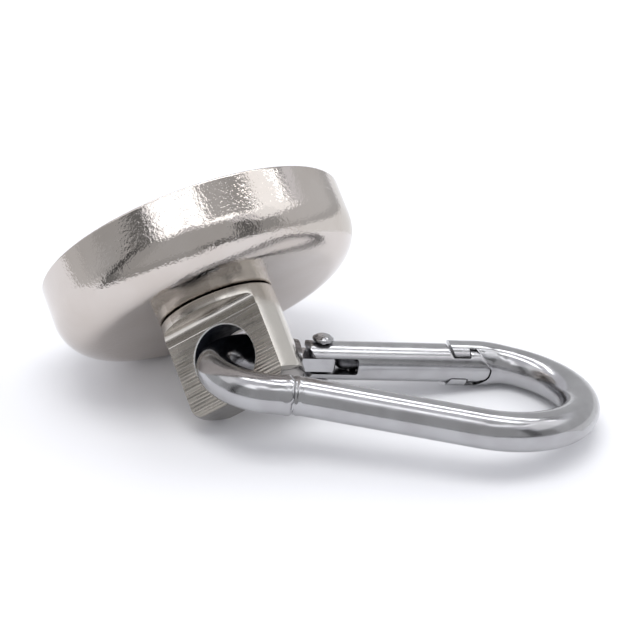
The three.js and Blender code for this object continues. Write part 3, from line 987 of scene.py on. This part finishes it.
def make_strip(name, azimuth, tilt, half_angle, strength):
    """A long tube light for reflections, across the azimuth and at a tilt from the horizon under it."""
    distance, half_length = 0.8, 0.7
    ahead, along = direction(azimuth, 0), direction(azimuth + 90, 0)
    bm = bmesh.new()
    rows = []
    for turn in (tilt - half_angle, tilt + half_angle):
        t = math.radians(turn)
        middle = (ahead * math.cos(t) + Vector((0, 0, math.sin(t)))) * distance
        rows.append([bm.verts.new(middle + along * s * half_length) for s in (-1, 1)])
    (a, b), (c, d) = rows
    bm.faces.new((a, b, d, c))
    reflected_only(as_object(name, bm), strength)


def make_floor_card(name, azimuths, near, strength, far=0.85):
    """The floor as reflections see it, between two distances: a glowing sheet over the floor that paints
    the floor's light and shade into the reflections.
    """
    steps = 16
    above_floor = Vector((0, 0, MM / 2))
    bm = bmesh.new()
    rows = []
    for distance in (near, far):
        turns = (azimuths[0] + (azimuths[1] - azimuths[0]) * i / steps for i in range(steps + 1))
        rows.append([bm.verts.new(direction(turn, 0) * distance + above_floor) for turn in turns])
    for k in range(steps):
        bm.faces.new((rows[0][k], rows[0][k + 1], rows[1][k + 1], rows[1][k]))
    reflected_only(as_object(name, bm), strength)


def make_floor():
    bm = bmesh.new()
    bmesh.ops.create_grid(bm, x_segments=1, y_segments=1, size=3)
    floor = as_object("floor", bm)
    floor_surface = Surface("floor", Matrix(), (0.90, 0.905, 0.92), 0.6, metallic=0.0)
    floor_surface.shader.inputs["Specular IOR Level"].default_value = 0.1
    floor.data.materials.append(floor_surface.material)


def make_studio():
    world = bpy.data.worlds.new("studio")
    bpy.context.scene.world = world
    world.use_nodes = True
    background = world.node_tree.nodes["Background"]
    background.inputs["Color"].default_value = SKY_COLOUR
    background.inputs["Strength"].default_value = 0.91
    bpy.context.scene.view_settings.view_transform = "Standard"
    make_floor()

    make_light("top_light", -25, 75, 1.0, (0.6, 0.4), 3.5)
    make_light("right_light", 82, 44, 1.0, (0.5, 0.45), 1.15)

    # what the metal reflects: a grey room in front with dark edges, and bright panels over it
    make_card("left_front_wall", (-62, -42), (0, 45), 0.47)
    make_card("front_wall", (-42, 27), (0, 51), 0.55)
    make_card("left_wall", (-125, -90), (0, 30), 0.62)
    make_card("left_near_wall", (-90, -62), (0, 30), 0.5)
    make_card("left_upper_wall", (-82, -62), (30, 45), 0.5)
    make_card("left_edge", (-73, -63), (0, 32), 0.09, distance=0.88)
    make_card("left_edge_top", (-72, -60), (32, 45), 0.2, distance=0.88)
    make_card("left_high_panel", (-125, -82), (30, 58), 1.25)
    make_card("right_edge", (27, 41), (0, 38), 0.17)
    make_card("right_horizon", (2, 30), (0, 3), 0.14, distance=0.88)
    make_card("right_front_wall", (41, 60), (0, 26), 0.42)
    make_card("right_wall", (60, 128), (0, 26), 0.72)
    make_card("back_wall", (128, 190), (0, 50), 0.68)
    make_card("right_shade", (101, 128), (34, 60), 0.45)
    make_card("left_panel", (-60, -34), (46, 66), 2.2, distance=0.89)
    make_card("front_panel", (-34, -4), (60, 71), 2.6)
    make_card("low_panel", (-4, 44), (53, 62), 2.2)
    make_card("thin_panel", (44, 74), (50, 54), 2.2)
    make_card("grey_panel", (-4, 44), (62, 77), 0.6)
    make_card("right_grey_panel", (44, 74), (54, 77), 0.5)
    make_card("right_panel", (74, 98), (28, 62), 1.5)
    make_card("right_low_panel", (48, 74), (28, 50), 1.3)
    # painted reflections of the floor: the dim cards paint its shade and the brightest its light
    make_floor_card("front_floor", (-58, 5), 0.11, 0.46)
    make_floor_card("left_edge_floor", (-75, -58), 0.11, 0.22)
    make_floor_card("right_edge_floor", (5, 40), 0.2, 0.22)
    make_floor_card("left_floor", (-140, -75), 0.16, 0.72)
    make_floor_card("right_floor", (40, 140), 0.15, 0.58)
    make_floor_card("right_near_floor", (60, 175), 0.052, 1.0, far=0.15)
    for number, tilt in enumerate((97, 121)):
        make_strip(f"strip_{number}", -24, tilt, 3.2, 6.5)


# ---- the object -----------------------------------------------------------------------------------

nickel = bright_nickel()
bronze, spring_steel = plain_bronze(), dark_spring_steel()

make_camera()
make_studio()
make_cup(nickel)
make_disc(plain_nickel())
make_resin(potting_resin())
make_washers(bronze)
make_clip(spring_steel)
# the cross hole's wall is coloured near-black as painted shade
make_block([turned_nickel("turned_nickel", (0.64, 0.61, 0.565)), milled_nickel(), painted_shade_bore(),
            # the edges carry a painted highlight, and the block's ends a darker plate as painted shade
            painted_edge_highlight(), turned_nickel("shaded_end_nickel", (0.32, 0.305, 0.29))])
make_hook(tumbled_stainless("drawn_stainless", HOOK_FRAME, 0.14, 0.21))
make_gate(tumbled_stainless("rolled_stainless", GATE_FRAME, 0.17, 0.25))
make_rivet(tumbled_stainless("formed_stainless", GATE_FRAME, 0.16, 0.24))
make_plunger(shaded_plunger_steel())
make_spring(spring_steel)
